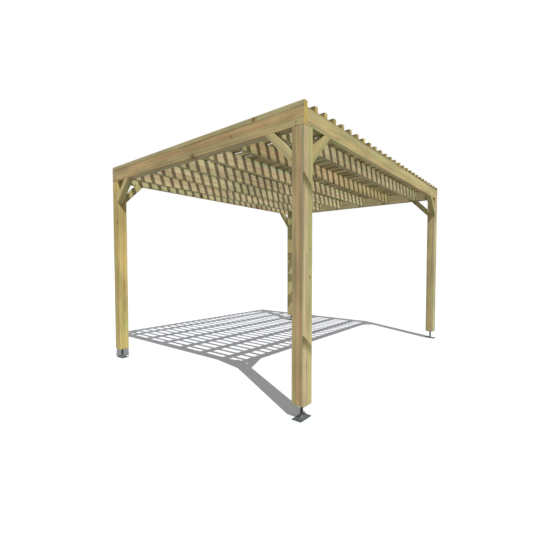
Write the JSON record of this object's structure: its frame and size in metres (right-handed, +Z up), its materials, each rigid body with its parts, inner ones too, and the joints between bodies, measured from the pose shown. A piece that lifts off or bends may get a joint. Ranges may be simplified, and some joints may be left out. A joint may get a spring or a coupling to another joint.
{
  "type": "timber pergola",
  "caption": "Open rectangular timber pergola: posts on steel feet, ring of edge beams with knee braces, joists between them and a slatted flat roof.",
  "frame": {"origin": "middle of the footprint at ground level", "axes": "+X along the front beam to the right, +Y from the front to the back along the side beams, +Z up"},
  "size_m": [3.095, 4.035, 2.535],
  "materials": {
    "post_timber": "sawn and planed pressure-treated softwood, matt",
    "cross_beam_timber": "planed pressure-treated softwood, matt, brown-green",
    "side_beam_timber": "planed pressure-treated softwood, matt, yellow-green",
    "joist_timber": "planed pressure-treated softwood, matt",
    "brace_timber": "planed pressure-treated softwood, matt, green tint",
    "slat_timber": "planed pressure-treated softwood, matt",
    "foot_steel": "dull dark grey galvanised steel"
  },
  "bodies": {
    "root": {"post_front_right": "post_timber", "post_front_left": "post_timber", "post_back_right": "post_timber", "post_back_left": "post_timber", "foot_front_right": "foot_steel", "foot_front_left": "foot_steel", "foot_back_right": "foot_steel", "foot_back_left": "foot_steel", "front_beam": "cross_beam_timber", "back_beam": "cross_beam_timber", "left_beam": "side_beam_timber", "right_beam": "side_beam_timber", "front_inner_beam": "cross_beam_timber", "back_inner_beam": "cross_beam_timber", "joist_1": "joist_timber", "joist_2": "joist_timber", "joist_3": "joist_timber", "joist_4": "joist_timber", "joist_5": "joist_timber", "joist_6": "joist_timber", "brace_front_right_across": "brace_timber", "brace_front_left_across": "brace_timber", "brace_back_right_across": "brace_timber", "brace_back_left_across": "brace_timber", "brace_front_right_along": "brace_timber", "brace_front_left_along": "brace_timber", "brace_back_right_along": "brace_timber", "brace_back_left_along": "brace_timber", "slats_1": "slat_timber", "slats_2": "slat_timber", "slats_3": "slat_timber", "slats_4": "slat_timber", "slats_5": "slat_timber", "slats_6": "slat_timber", "slats_7": "slat_timber", "slats_8": "slat_timber", "slats_9": "slat_timber"}
  },
  "joints": []
}
